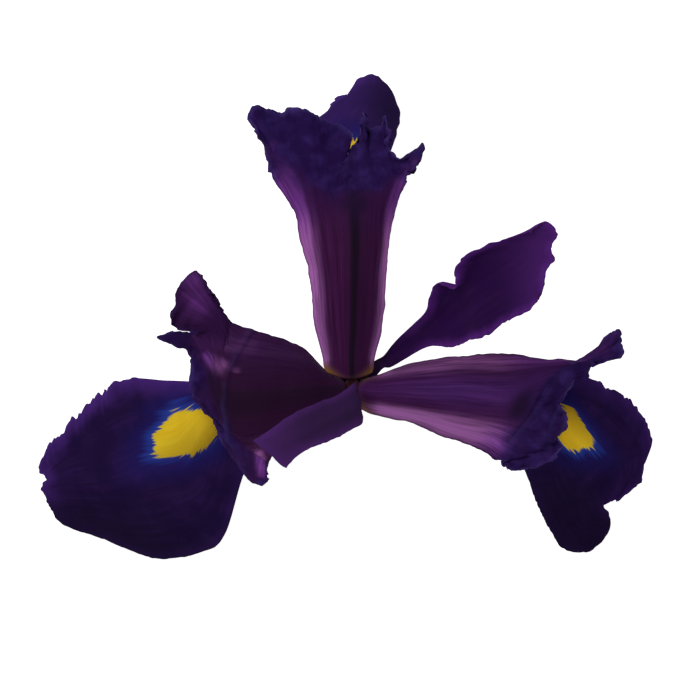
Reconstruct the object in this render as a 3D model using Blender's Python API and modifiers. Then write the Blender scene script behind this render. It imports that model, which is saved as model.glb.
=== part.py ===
"""Cut blossom of a Dutch iris, lying face up and resting on its three drooping falls.

+Z is up, the floor is z = 0 and the rear style arm points to +Y. Metres.
Every petal is a flat grid laid over a table of rows. A row crosses the petal from its
left margin to its right margin, and the rows go from the base of the petal to its tip.
Row points are millimetres from the flower's axis and above the floor. A fourth number is the
point's place across the petal, 0 to 1; without it the distance along the row decides.
"""
import math

import bmesh
import bpy
import numpy as np

MM = 0.001
AXIS_OFFSET = (1.42, -12.39, 0.0)   # flower axis from the middle of the whole, mm
FALL_THICK = 0.55                   # petals are thicker than in life, so that they stay solid
STANDARD_THICK = 0.50
ARM_THICK = 0.50
FALL_GRID = (26, 16)                # cells along and across
STANDARD_GRID = (28, 10)
ARM_GRID = (20, 20)

COLUMN_RADIUS = 0.95
FILAMENT_RADIUS = 0.45
ANTHER_SIZE = (1.9, 11.0, 1.3)      # width, length, thickness
TUBE_BOTTOM, TUBE_TOP = 10.58, 19.7
OVARY_BOTTOM, OVARY_TOP = 2.9, 11.0
OVARY_RADIUS = 2.7
PEDICEL_RADIUS = 1.9
PEDICEL_BOTTOM = 0.6

FALL_REAR = (
    ((-1.5, 2.8, 20.6), (0, 3.1, 20.3), (1.5, 2.8, 20.6)),
    ((-3.4, 9.5, 24.8), (0, 9.5, 23.6), (3.2, 9.5, 24.8)),
    ((-4.0, 20, 27.4), (0, 20, 26.3), (3.8, 20, 27.4)),
    ((-6.0, 31, 27.4), (0, 31, 27.8), (5.0, 31, 27.4)),
    ((-10.5, 36.5, 22.5), (-5.5, 37, 26), (0, 37, 26.3), (4.5, 37, 25.8), (7.4, 36, 22.5)),
    ((-11.5, 40.4, 16), (-6.0, 42.4, 21), (0.5, 42.4, 21.8), (5.0, 42, 20), (6.7, 41.6, 14.5)),
    ((-10, 44, 9.5), (-4.8, 47, 14), (1.4, 47.6, 14.6), (6.2, 46.6, 13), (8.1, 45.6, 8.4)),
    ((-5.0, 48.9, 4.6), (-1.6, 51.2, 6.4), (2.4, 52.4, 6.8), (6.2, 51.4, 6.0), (8.5, 49.6, 4.0)),
    ((-2.1, 52.6, 0.9), (0.4, 53.6, 0.5), (0.9, 55.4, 0.2), (2.3, 56.4, 0.16), (4.5, 56.4, 0.16),
     (5.4, 55.5, 0.16), (6.7, 54.2, 0.25), (7.4, 52.0, 0.8)),
)
FALL_LEFT = (
    ((-3.3, -0.2, 20.6), (-2.8, -1.6, 20.3), (-1.9, -2.8, 20.6)),
    ((-9.5, 1.5, 24.6), (-9.5, -2.5, 23.6), (-8.5, -6.3, 24.6)),
    ((-18, 1.0, 27), (-18, -4, 26), (-16, -9.5, 27)),
    ((-26, 0.5, 25.5), (-25, -7, 25.5), (-19.2, -15.6, 23)),
    ((-33, 0.6, 21), (-32.5, -5, 22.2), (-31.5, -11, 21.2), (-27, -19.5, 18), (-22.9, -26.9, 13.6)),
    ((-41.8, 0.7, 15.5), (-40.2, -6, 16.8), (-38.5, -13.5, 15.6), (-34.0, -22.8, 12), (-26.6, -30.4, 8.8)),
    ((-47.7, -3.9, 10.5), (-47.2, -9, 11), (-45.6, -15.5, 9.8), (-42, -23.3, 6.8), (-36.4, -31.8, 4.8)),
    ((-53.3, -9.0, 5.9), (-52.9, -12.6, 6.0), (-51.6, -17.4, 4.6), (-49.3, -23.2, 2.6), (-46.2, -28.35, 2.0)),
    ((-57.0, -13.6, 2.0), (-57.1, -15.6, 1.4), (-55.7, -17.8, 0.8), (-56.3, -18.8, 0.6), (-56.0, -21.2, 0.3),
     (-54.5, -24.4, 0.3), (-52.4, -26.4, 0.4)),
)
FALL_RIGHT = (
    ((3.3, -0.2, 20.6), (2.8, -1.6, 20.3), (1.9, -2.8, 20.6)),
    ((9.5, 1.8, 24.6), (9.5, -1.7, 23.6), (8.5, -5.2, 24.6)),
    ((21, 2, 27.6), (21, -3, 26.6), (20, -8.5, 27.6)),
    ((36, 2, 27), (36, -2, 27.3), (35, -6, 27), (33, -9.5, 26.5), (29.5, -13, 25.8)),
    ((42, 1.2, 24), (41.8, -3.2, 24.2), (40.3, -8, 22.8), (37, -13, 21.3), (31.5, -16.6, 20)),
    ((48.0, -1.9, 18.5), (46.8, -6, 18.8), (44.1, -11.5, 17), (39.5, -17.5, 15.5), (33, -20.6, 14)),
    ((52.9, -6, 12.5), (50.6, -10, 12.8), (47, -15.2, 11), (41.6, -21.5, 9.5), (35.5, -25.6, 8)),
    ((54.3, -11, 7.8), (52.2, -14.6, 7.5), (48.0, -18.6, 6), (43.2, -24.6, 4.2), (38.8, -30.2, 3.4)),
    ((52.2, -17.4, 3.4), (50.0, -19.9, 2.6), (46.9, -22.0, 1.6), (44.8, -22.9, 1.2), (46.8, -23.6, 0.8),
     (47.4, -25.8, 0.35), (46.3, -28.5, 0.25), (43.6, -30.6, 0.45)),
)
STANDARD_RIGHT = (
    ((2.2, 2.4, 20.8), (2.7, 1.6, 20.6), (3.2, 0.7, 20.8)),
    ((3.2, 3.1, 23.8), (3.8, 2.4, 23.6), (4.4, 1.6, 23.8)),
    ((3.8, 3.9, 25.8), (4.6, 3.2, 25.6), (5.3, 2.65, 25.9)),
    ((5.6, 4.9, 29.6), (6.2, 4.1, 29.3), (6.8, 3.1, 29.8)),
    ((7.3, 7.0, 32.2), (8.4, 5.8, 31.8), (9.4, 4.6, 32.4)),
    ((10.9, 10.7, 37), (12.6, 9.2, 36.2), (13.6, 6.8, 37.4)),
    ((13.1, 13.1, 40), (15.8, 11.6, 39.4), (16.6, 6.9, 40.8)),
    ((13.7, 15.6, 41.8), (18.0, 13.8, 41.4), (19.6, 7.4, 43)),
    ((15.0, 17.2, 43.6), (20.0, 15.6, 43.4), (22, 8.0, 45)),
    ((17.9, 17.1, 44.8), (21.8, 17.0, 44.8), (24, 8.9, 46.4)),
    ((17.9, 20.0, 46.2), (23.6, 18.4, 46), (25.8, 10.6, 47.8)),
    ((21.3, 23.7, 49.4), (27, 20.6, 48.4), (28.4, 11.8, 50)),
    ((26.6, 25.6, 52.6), (30, 22.6, 51), (31.2, 13.5, 51.8)),
    ((31.0, 26.4, 55.2), (33.4, 28.5, 56.4), (35.7, 26.4, 56), (34.7, 23.6, 54.8), (34.8, 21.2, 54.2),
     (33.9, 18.6, 53.6), (32.2, 15.2, 52.4)),
)
STANDARD_FRONT = (
    ((-0.6, -2.9, 20.8), (0.3, -3.1, 20.6), (1.2, -2.9, 20.8)),
    ((-1.0, -4.0, 25.3), (-0.1, -4.3, 25), (0.8, -4.0, 25.3)),
    ((-0.9, -3.4, 30.2), (0.3, -5.0, 30.4), (1.4, -5.6, 30.1)),
    ((0.6, 0.4, 33.4), (1.2, -2.8, 33.8), (1.95, -5.9, 33.3)),
    ((-0.5, -0.4, 34.8), (0.6, -3.8, 35.6), (1.75, -6.95, 35)),
    ((-2.2, -1.6, 36.4), (-1.4, -4.9, 37.4), (0.5, -7.7, 37)),
    ((-6.6, -3.3, 40.2), (-5.5, -6.9, 41.4), (-3.6, -9.7, 41.6)),
    ((-11.6, -5.8, 43.8), (-10.0, -9.0, 45), (-7.8, -11.4, 45)),
    ((-14.8, -8.2, 45.6), (-12.6, -10.6, 46.6), (-10.2, -13.0, 46.4)),
    ((-17.4, -9.9, 46.8), (-15.4, -11.4, 47), (-13.9, -12.7, 46.8), (-12.8, -13.8, 46.8),
     (-11.5, -14.6, 46.8)),
)
STANDARD_LEFT = (
    ((-2.0, 1.9, 20.6), (-2.5, 1.2, 20.4), (-2.9, 0.5, 20.6)),
    ((-6.0, 2.9, 20.2), (-6.4, 2.0, 20), (-6.7, 1.0, 20.2)),
    ((-11.6, 3.6, 19), (-12, 2.0, 18.6), (-12.4, 0.2, 19)),
    ((-18, 2.0, 17.4), (-19, -1.5, 16.6), (-20, -5, 17.4)),
    ((-25.5, -1, 14), (-27, -7.5, 13), (-29, -13.5, 13.4)),
    ((-34, -4.5, 9), (-35, -12, 8), (-36, -19, 8.2)),
    ((-41, -9, 5), (-41.5, -15.5, 4), (-41.5, -21.5, 3.8)),
    ((-45, -15, 2.4), (-46, -18, 2), (-45, -21, 1.8)),
)
ARM_REAR = (
    ((-4.9, 2.3, 27.8), (-0.3, 1.1, 28.6), (3.9, 2.2, 27.6)),
    ((-5.0, 3.4, 27.7), (-0.4, 3.2, 29.5), (3.8, 3.3, 27.5)),
    ((-5.2, 4.8, 27.2), (-0.4, 6.0, 30.1), (4.1, 5.1, 27.2)),
    ((-6.7, 10.5, 27.7), (-0.2, 11.5, 31.4), (5.4, 10.4, 27.7)),
    ((-7.4, 17.5, 28.7), (-0.1, 18.5, 32.6), (6.2, 17.5, 28.7)),
    ((-9.2, 26, 29.9), (0, 26.5, 33), (6.6, 26, 29.9)),
    ((-10.8, 32, 31.2), (-0.4, 32.8, 33), (8.1, 32.2, 31.5)),
    ((-13.9, 36.6, 33.6, 0), (-9.6, 38.2, 34.4, 0.15), (-5, 38.2, 34, 0.32), (-0.9, 37.2, 32.8, 0.48),
     (2.2, 38, 33.4, 0.6), (6.6, 37.4, 33.8, 0.8), (9.9, 36.6, 34.8, 1)),
    ((-15.2, 42.2, 36.2, 0), (-18.0, 48.4, 39.2, 0.1), (-12.4, 48.2, 37.6, 0.2), (-7.4, 48.4, 38.2, 0.3),
     (-2.2, 45.2, 35.2, 0.4), (-0.8, 42.0, 33.4, 0.5), (2.4, 46.0, 35.8, 0.6), (5.6, 45.8, 36.4, 0.7),
     (8.0, 40.6, 35.6, 0.8), (12.4, 42.2, 39.2, 0.9), (10.6, 38.2, 36.2, 1)),
)
ARM_LEFT = (
    ((-2.1, 0.95, 26.4), (-1.25, -0.5, 28.6), (-1.3, -2.8, 27.2)),
    ((-4.7, 2.5, 26.1), (-3.7, -0.6, 28.9), (-2.6, -4.4, 26.8)),
    ((-8.0, 5.9, 26.7), (-7.2, -1.0, 30.3), (-4.8, -7.2, 27)),
    ((-12.2, 8.1, 27.9), (-12.6, -1.6, 31.6), (-9.6, -10.3, 28)),
    ((-16.7, 9.3, 29.5), (-18, -2.2, 32.4), (-13.7, -12.3, 29)),
    ((-19.9, 10.4, 30.8), (-22, -2.2, 32.2), (-14.7, -13.6, 29.9)),
    ((-22.5, 12.4, 33, 0), (-25.8, 9.4, 33.2, 0.33), (-27.4, 7.2, 33, 0.445), (-27.1, 5.0, 32.4, 0.54),
     (-26.4, -0.6, 31.4, 0.64), (-23.9, -6.4, 31, 0.76), (-19.8, -11.8, 30.8, 0.88), (-14.9, -14.6, 30.4, 1)),
    ((-24.4, 15.0, 35.8, 0), (-27.4, 20.0, 38.3, 0.1), (-31.3, 15.6, 37.6, 0.2), (-29.2, 9.6, 34.6, 0.35),
     (-34.0, 8.4, 34.2, 0.45), (-28.8, 5.0, 32.4, 0.55), (-28.3, -1.4, 31, 0.65), (-23.7, -9.2, 30.2, 0.8),
     (-18.2, -17.2, 30.8, 0.9), (-15.2, -16.8, 31, 1)),
)
ARM_RIGHT = (
    ((1.9, 0.8, 26.3), (1.25, -1.0, 28.6), (1.65, -4.9, 26.7)),
    ((4.4, 1.5, 26.4), (3.6, -1.4, 28.9), (4.0, -5.4, 26.8)),
    ((8.2, 2.95, 27), (7, -1.5, 30.2), (6.6, -6.0, 27)),
    ((13.5, 4.4, 28), (12.5, -1.8, 31.6), (11.4, -7.1, 28)),
    ((20, 5.2, 29), (20, -2.2, 32.8), (17.5, -9.7, 29)),
    ((28, 5.5, 30), (28.5, -2.8, 32.8), (22.8, -11.6, 30.2)),
    ((36.4, 4.5, 31.8, 0), (37.6, 3.8, 33, 0.15), (37.8, 2.4, 33, 0.35), (36.2, 0.2, 32.8, 0.45),
     (34.4, -3.6, 32.4, 0.58), (33.6, -7.4, 32.4, 0.7), (31.4, -11.8, 32, 0.86), (26.5, -13.9, 31, 1)),
    ((41.4, 5.3, 34.8, 0), (42.5, 4.5, 35.8, 0.15), (40.8, 2.5, 34.6, 0.35), (38.8, 0.4, 33.4, 0.45),
     (36.2, -3.4, 32, 0.58), (36.6, -7.4, 32.1, 0.7), (34.8, -11.8, 32.1, 0.86), (27.2, -14.5, 31.4, 1)),
    ((45.8, 8.9, 38.3, 0), (47.8, 8.2, 38.7, 0.1), (47.4, 5.2, 38, 0.2), (43.6, 3.6, 36, 0.3),
     (41.2, 1.2, 34.2, 0.42), (37.2, -3.2, 31.6, 0.58), (38.6, -7.0, 31.8, 0.7), (37.0, -11.8, 32.2, 0.82),
     (31.4, -14.9, 32.2, 0.93), (27.4, -14.8, 31.6, 1)),
)

COLOURS = {
    "fall": (0.030, 0.012, 0.090, 1),
    "standard": (0.045, 0.010, 0.110, 1),
    "style_arm": (0.085, 0.016, 0.090, 1),
    "filament": (0.55, 0.45, 0.62, 1),
    "anther": (0.72, 0.55, 0.16, 1),
    "style_column": (0.043, 0.012, 0.018, 1),
    "perianth_tube": (0.051, 0.027, 0.019, 1),
    "ovary": (0.10, 0.22, 0.05, 1),
    "pedicel": (0.12, 0.26, 0.06, 1),
}


def clear_file():
    for thing in list(bpy.data.objects):
        bpy.data.objects.remove(thing, do_unlink=True)


def make_collection():
    group = bpy.data.collections.new("iris_blossom")
    bpy.context.scene.collection.children.link(group)
    return group


def material_for(name):
    kind = next(key for key in COLOURS if name.startswith(key))
    mat = bpy.data.materials.new(name + "_skin")
    mat.use_nodes = True
    shader = mat.node_tree.nodes["Principled BSDF"]
    shader.inputs["Base Color"].default_value = COLOURS[kind]
    shader.inputs["Roughness"].default_value = 0.55
    return mat


def add_object(name, data, group):
    thing = bpy.data.objects.new(name, data)
    thing.location = [mm * MM for mm in AXIS_OFFSET]
    data.materials.append(material_for(name))
    group.objects.link(thing)
    return thing


def smooth_through(knots, values, at):
    """Curve through the values, each tangent taken from the parabola of three neighbours."""
    step = np.diff(knots).reshape((-1,) + (1,) * (values.ndim - 1))
    slope = np.diff(values, axis=0) / step
    inner = (step[1:] * slope[:-1] + step[:-1] * slope[1:]) / (step[1:] + step[:-1])
    tangent = np.concatenate([2 * slope[:1] - inner[:1], inner, 2 * slope[-1:] - inner[-1:]])
    cell = np.clip(np.searchsorted(knots, at, side="right") - 1, 0, len(knots) - 2)
    width = step[cell]
    u = (at - knots[cell]).reshape(width.shape) / width
    return ((1 + 2 * u) * (1 - u) ** 2 * values[cell] + u * (1 - u) ** 2 * width * tangent[cell]
            + u * u * (3 - 2 * u) * values[cell + 1] + u * u * (u - 1) * width * tangent[cell + 1])


def places_across(row):
    """Where each point of a row lies between the petal's margins, 0 to 1."""
    if row.shape[1] == 4:
        return row[:, 3]
    if len(row) == 3:
        return np.array([0, 0.5, 1])
    travelled = np.concatenate([[0], np.cumsum(np.linalg.norm(np.diff(row, axis=0), axis=1))])
    return travelled / travelled[-1]


def petal_surface(rows, cells):
    """Points of the petal, one for each crossing of the grid lines."""
    lanes = np.linspace(0, 1, cells[1] + 1)
    rows = [np.array(row, float) for row in rows]
    table = np.array([smooth_through(places_across(row), row[:, :3], lanes) for row in rows])
    midrib = np.linalg.norm(np.diff(table[:, cells[1] // 2], axis=0), axis=1)
    along = np.concatenate([[0], np.cumsum(midrib)])
    return smooth_through(along, table, np.linspace(0, along[-1], cells[0] + 1)) * MM


def add_petal(name, rows, cells, thick, group):
    """A flat grid moved onto the petal's surface, then given its thickness."""
    surface = petal_surface(rows, cells)
    mesh = bpy.data.meshes.new(name)
    shell = bmesh.new()
    bmesh.ops.create_grid(shell, x_segments=cells[0], y_segments=cells[1], size=1)
    for vert in shell.verts:
        line = round((vert.co.x + 1) / 2 * cells[0])
        place = round((vert.co.y + 1) / 2 * cells[1])
        vert.co = surface[line, place]
    shell.to_mesh(mesh)
    shell.free()
    petal = add_object(name, mesh, group)
    solid = petal.modifiers.new("thickness", "SOLIDIFY")
    solid.thickness = thick * MM
    solid.offset = 0
    return petal


def add_filament(name, points, group):
    """A round thread with filled ends."""
    curve = bpy.data.curves.new(name, "CURVE")
    curve.dimensions = "3D"
    curve.bevel_depth = FILAMENT_RADIUS * MM
    curve.bevel_resolution = 2
    curve.use_fill_caps = True
    curve.resolution_u = 6
    spline = curve.splines.new("BEZIER")
    spline.bezier_points.add(len(points) - 1)
    for handle, point in zip(spline.bezier_points, points):
        handle.co = [mm * MM for mm in point]
        handle.handle_left_type = handle.handle_right_type = "AUTO"
    return add_object(name, curve, group)


def add_anther(name, start, end, group):
    """A long flattened pod lying from start to end, grooved along its middle."""
    mesh = bpy.data.meshes.new(name)
    pod = bmesh.new()
    bmesh.ops.create_uvsphere(pod, u_segments=16, v_segments=12, radius=0.5)
    start, end = np.array(start), np.array(end)
    run = (end - start) / np.linalg.norm(end - start)
    side = np.cross(run, (0, 0, 1))
    side /= np.linalg.norm(side)
    up = np.cross(run, side)
    middle = (start + end) / 2
    for vert in pod.verts:
        x, y, z = vert.co
        groove = 1 - 0.25 * math.exp(-(x / 0.12) ** 2)
        place = (middle + side * (x * ANTHER_SIZE[0]) + run * (z * ANTHER_SIZE[1])
                 + up * (y * groove * ANTHER_SIZE[2]))
        vert.co = place * MM
    pod.to_mesh(mesh)
    pod.free()
    return add_object(name, mesh, group)


def add_turned(name, profile, group):
    """A closed ring or a solid turned about the flower's axis from (radius, height) pairs."""
    mesh = bpy.data.meshes.new(name)
    outline = bmesh.new()
    verts = [outline.verts.new((radius * MM, 0, height * MM)) for radius, height in profile]
    for first, second in zip(verts, verts[1:]):
        outline.edges.new((first, second))
    if profile[0][0] > 0:
        outline.edges.new((verts[-1], verts[0]))
    outline.to_mesh(mesh)
    outline.free()
    turned = add_object(name, mesh, group)
    screw = turned.modifiers.new("turn", "SCREW")
    screw.steps = screw.render_steps = 24
    screw.use_merge_vertices = True
    screw.merge_threshold = 0.00001
    return turned


def add_ovary(group):
    """A pod with three blunt ribs, rounded at both ends."""
    mesh = bpy.data.meshes.new("ovary")
    pod = bmesh.new()
    bmesh.ops.create_uvsphere(pod, u_segments=24, v_segments=14, radius=1)
    half = (OVARY_TOP - OVARY_BOTTOM) / 2
    for vert in pod.verts:
        turn = math.atan2(vert.co.y, vert.co.x)
        rib = OVARY_RADIUS * (0.94 + 0.06 * math.cos(3 * turn))
        level = vert.co.z
        full = (1 - level ** 4) ** 0.5 / max((1 - level ** 2) ** 0.5, 0.05)
        vert.co = (vert.co.x * rib * full * MM, vert.co.y * rib * full * MM,
                   (OVARY_BOTTOM + half + level * half) * MM)
    pod.to_mesh(mesh)
    pod.free()
    return add_object("ovary", mesh, group)


def add_petals(group):
    for name, rows in (("fall_rear", FALL_REAR), ("fall_left", FALL_LEFT), ("fall_right", FALL_RIGHT)):
        add_petal(name, rows, FALL_GRID, FALL_THICK, group)
    for name, rows in (("standard_right", STANDARD_RIGHT), ("standard_front", STANDARD_FRONT),
                       ("standard_left", STANDARD_LEFT)):
        add_petal(name, rows, STANDARD_GRID, STANDARD_THICK, group)
    for name, rows in (("style_arm_rear", ARM_REAR), ("style_arm_left", ARM_LEFT),
                       ("style_arm_right", ARM_RIGHT)):
        add_petal(name, rows, ARM_GRID, ARM_THICK, group)


def add_stamens(group):
    """Each thread rises from the base of a fall and ends short of its anther."""
    add_filament("filament_rear", ((0, 4.2, 22.4), (0, 8.2, 25.6), (0, 12.6, 28.6)), group)
    add_filament("filament_left", ((-4.1, -1.8, 22.4), (-8, -2.1, 25.6), (-12.2, -2.3, 28.6)), group)
    add_filament("filament_right", ((4.1, -1.8, 22.4), (8, -1.7, 25.6), (12.2, -1.8, 28.6)), group)
    add_anther("anther_rear", (0, 13, 28.9), (0, 24, 29.9), group)
    add_anther("anther_left", (-12.6, -2.4, 28.9), (-23, -3.9, 28.9), group)
    add_anther("anther_right", (12.6, -1.8, 28.9), (23.4, -2.6, 29.9), group)


def add_stalk(group):
    """Everything that stands on the flower's axis.

    The tube's foot and the pedicel's cup follow the ovary's rounded ends, 0.3 mm away from them.
    """
    add_turned("perianth_tube", ((1.2, TUBE_BOTTOM + 0.5), (1.2, 14.2), (1.6, 17.2), (3.1, TUBE_TOP),
                                 (3.6, TUBE_TOP), (2.2, 17), (1.7, 14), (1.9, 11.6),
                                 (2.1, TUBE_BOTTOM), (1.7, TUBE_BOTTOM + 0.34)), group)
    top = 28.2
    add_turned("style_column", ((0, top), (COLUMN_RADIUS * 0.6, top - 0.2), (COLUMN_RADIUS, top - 0.7),
                                (COLUMN_RADIUS, 20), (COLUMN_RADIUS * 0.8, 12), (0, 12)), group)
    add_ovary(group)
    add_turned("pedicel", ((0, 2.6), (0.95, 2.7), (1.8, 3.05), (2.15, 3.35), (2.1, 3), (PEDICEL_RADIUS, 2.2),
                           (PEDICEL_RADIUS, PEDICEL_BOTTOM + 0.15),
                           (PEDICEL_RADIUS - 0.15, PEDICEL_BOTTOM), (0, PEDICEL_BOTTOM)), group)


def main():
    clear_file()
    group = make_collection()
    add_petals(group)
    add_stamens(group)
    add_stalk(group)


main()
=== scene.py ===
"""The look of the iris blossom: fine petals with veins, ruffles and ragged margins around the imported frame.

Petal tables are millimetres from the flower's axis and above the floor, as in the CAD source.
A row crosses the petal from its left margin to its right margin; rows run from base to tip.
A fourth number is the point's place across the petal, 0 to 1; without it the distance along the row decides.
"""
import math

import bpy
import numpy as np
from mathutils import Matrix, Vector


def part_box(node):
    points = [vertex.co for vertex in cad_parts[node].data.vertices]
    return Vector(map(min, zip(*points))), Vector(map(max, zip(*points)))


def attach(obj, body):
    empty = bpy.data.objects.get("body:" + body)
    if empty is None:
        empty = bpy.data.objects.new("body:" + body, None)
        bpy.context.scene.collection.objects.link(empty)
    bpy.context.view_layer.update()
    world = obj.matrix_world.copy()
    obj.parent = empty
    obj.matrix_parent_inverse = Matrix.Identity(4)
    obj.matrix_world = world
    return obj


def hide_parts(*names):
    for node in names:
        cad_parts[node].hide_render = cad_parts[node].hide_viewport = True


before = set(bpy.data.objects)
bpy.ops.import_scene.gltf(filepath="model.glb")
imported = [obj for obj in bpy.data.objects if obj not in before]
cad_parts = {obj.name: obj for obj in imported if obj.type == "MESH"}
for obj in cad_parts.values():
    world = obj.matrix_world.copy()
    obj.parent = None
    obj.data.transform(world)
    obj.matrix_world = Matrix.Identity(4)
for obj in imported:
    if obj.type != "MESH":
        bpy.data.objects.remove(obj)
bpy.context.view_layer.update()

MM = 0.001
SEED = 20
PETAL_THICK = 0.34          # mm, at the middle of a petal
MARGIN_THICK = 0.45         # share of that thickness left at the margin
THIN_BAND = 2.5             # mm in from the margin over which a petal thins
THIN_STEPS = 10
GROW_OVER = 0.12            # share of a petal's length over which its ruffles grow in
TOOTH_REACH = 1.1           # mm in from the margin over which its teeth fade
TIP_REACH = 1.5             # mm from the tip over which the teeth cease to point along the petal
FINE_TOOTH, BROAD_TOOTH = 0.7, 1.8      # mm, the two sizes of teeth
FALL_CELLS = (210, 84)      # along and across
STANDARD_CELLS = (170, 64)
ARM_CELLS = (140, 190)
COLUMN_RINGS, COLUMN_SIDES = 24, 48

tube_low, tube_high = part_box("perianth_tube")
AXIS = ((tube_low[0] + tube_high[0]) / 2, (tube_low[1] + tube_high[1]) / 2)
AIM = (-0.00036, 0.00612)   # m, from the flower's axis to the middle of the view


# ---------------------------------------------------------------- petal tables

FALL_REAR = (
    ((-1.5, 2.8, 20.6), (0, 3.1, 20.3), (1.5, 2.8, 20.6)),
    ((-3.4, 9.5, 24.8), (0, 9.5, 23.6), (3.2, 9.5, 24.8)),
    ((-4.0, 20, 27.4), (0, 20, 26.3), (3.8, 20, 27.4)),
    ((-6.0, 31, 27.4), (0, 31, 27.8), (5.0, 31, 27.4)),
    ((-10.5, 36.5, 22.5), (-5.5, 37, 26), (0, 37, 26.3), (4.5, 37, 25.8), (7.4, 36, 22.5)),
    ((-11.5, 40.4, 16), (-6.0, 42.4, 21), (0.5, 42.4, 21.8), (5.0, 42, 20), (6.7, 41.6, 14.5)),
    ((-10, 44, 9.5), (-4.8, 47, 14), (1.4, 47.6, 14.6), (6.2, 46.6, 13), (8.1, 45.6, 8.4)),
    ((-5.0, 48.9, 4.6), (-1.6, 51.2, 6.4), (2.4, 52.4, 6.8), (6.2, 51.4, 6.0), (8.5, 49.6, 4.0)),
    ((-2.1, 52.6, 1.2), (0.4, 53.4, 0.8), (0.9, 55.2, 0.5), (2.3, 56.2, 0.5), (4.5, 56.2, 0.5),
     (5.4, 55.5, 0.5), (6.7, 54.2, 0.6), (7.4, 52.0, 1.2)),
)
FALL_LEFT = (
    ((-3.3, -0.2, 20.6), (-2.8, -1.6, 20.3), (-1.9, -2.8, 20.6)),
    ((-9.5, 1.5, 24.6), (-9.5, -2.5, 23.6), (-8.5, -6.3, 24.6)),
    ((-18, 1.0, 27), (-18, -4, 26), (-16, -9.5, 27)),
    ((-26, 0.5, 25.5), (-25, -7, 25.5), (-19.2, -15.6, 23)),
    ((-33, 0.6, 21), (-32.5, -5, 22.2), (-31.5, -11, 21.2), (-27, -19.5, 18), (-22.9, -26.9, 13.6)),
    ((-41.8, 0.7, 15.5), (-40.2, -6, 16.8), (-38.5, -13.5, 15.6), (-34.0, -22.8, 12), (-26.6, -30.4, 8.8)),
    ((-47.7, -3.9, 10.5), (-47.2, -9, 11), (-45.6, -15.5, 9.8), (-42, -23.3, 6.8), (-36.4, -31.8, 4.8)),
    ((-53.3, -9.0, 5.9), (-52.9, -12.6, 6.0), (-51.6, -17.4, 4.6), (-49.3, -23.2, 2.6), (-46.2, -28.35, 2.0)),
    ((-57.0, -13.6, 2.0), (-57.2, -15.6, 1.6), (-55.6, -17.8, 1.2), (-56.4, -18.5, 1.0), (-56.0, -21.2, 0.7),
     (-54.5, -24.4, 0.7), (-52.4, -26.4, 0.9)),
)
FALL_RIGHT = (
    ((3.3, -0.2, 20.6), (2.8, -1.6, 20.3), (1.9, -2.8, 20.6)),
    ((9.5, 1.8, 24.6), (9.5, -1.7, 23.6), (8.5, -5.2, 24.6)),
    ((21, 2, 27.6), (21, -3, 26.6), (20, -8.5, 27.6)),
    ((36, 2, 27), (36, -2, 27.3), (35, -6, 27), (33, -9.5, 26.5), (29.5, -13, 25.8)),
    ((42, 1.2, 24), (41.8, -3.2, 24.2), (40.3, -8, 22.8), (37, -13, 21.3), (31.5, -16.6, 20)),
    ((48.0, -1.9, 18.5), (46.8, -6, 18.8), (44.1, -11.5, 17), (39.5, -17.5, 15.5), (33, -20.6, 14)),
    ((52.9, -6, 12.5), (50.6, -10, 12.8), (47, -15.2, 11), (41.6, -21.5, 9.5), (35.5, -25.6, 8)),
    ((54.3, -11, 7.8), (52.2, -14.6, 7.5), (48.0, -18.6, 6), (43.2, -24.6, 4.2), (38.8, -30.2, 3.4)),
    ((52.2, -17.4, 3.6), (50.0, -19.9, 3.0), (46.9, -22.0, 2.0), (44.6, -22.9, 1.6), (46.8, -23.6, 1.2),
     (47.4, -25.8, 0.6), (46.3, -28.5, 0.5), (43.6, -30.6, 0.7)),
)
STANDARD_RIGHT = (
    ((2.2, 2.4, 20.8), (2.7, 1.6, 20.6), (3.2, 0.7, 20.8)),
    ((3.2, 3.1, 23.8), (3.8, 2.4, 23.6), (4.4, 1.6, 23.8)),
    ((3.8, 3.9, 25.8), (4.6, 3.2, 25.6), (5.3, 2.65, 25.9)),
    ((5.6, 4.9, 29.6), (6.2, 4.1, 29.3), (6.8, 3.1, 29.8)),
    ((7.3, 7.0, 32.2), (8.4, 5.8, 31.8), (9.4, 4.6, 32.4)),
    ((10.9, 10.7, 37), (12.6, 9.2, 36.2), (13.6, 6.8, 37.4)),
    ((13.1, 13.1, 40), (15.8, 11.6, 39.4), (16.6, 6.9, 40.8)),
    ((13.7, 15.6, 41.8), (18.0, 13.8, 41.4), (19.6, 7.4, 43)),
    ((15.0, 17.2, 43.6), (20.0, 15.6, 43.4), (22, 8.0, 45)),
    ((17.9, 17.1, 44.8), (21.8, 17.0, 44.8), (24, 8.9, 46.4)),
    ((17.9, 20.0, 46.2), (23.6, 18.4, 46), (25.8, 10.6, 47.8)),
    ((21.3, 23.7, 49.4), (27, 20.6, 48.4), (28.4, 11.8, 50)),
    ((26.6, 25.6, 52.6), (30, 22.6, 51), (31.2, 13.5, 51.8)),
    ((31.0, 26.4, 55.2), (32, 27.6, 56), (33.4, 28.5, 56.4), (34.9, 27.9, 56.4), (35.7, 26.3, 56),
     (34.8, 24.5, 55.2), (34.6, 23.2, 54.8), (35.2, 21.7, 54.4), (34.1, 20.3, 54), (33.9, 18.8, 53.6),
     (33.4, 16.5, 53), (32.2, 15.2, 52.4)),
)
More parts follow.
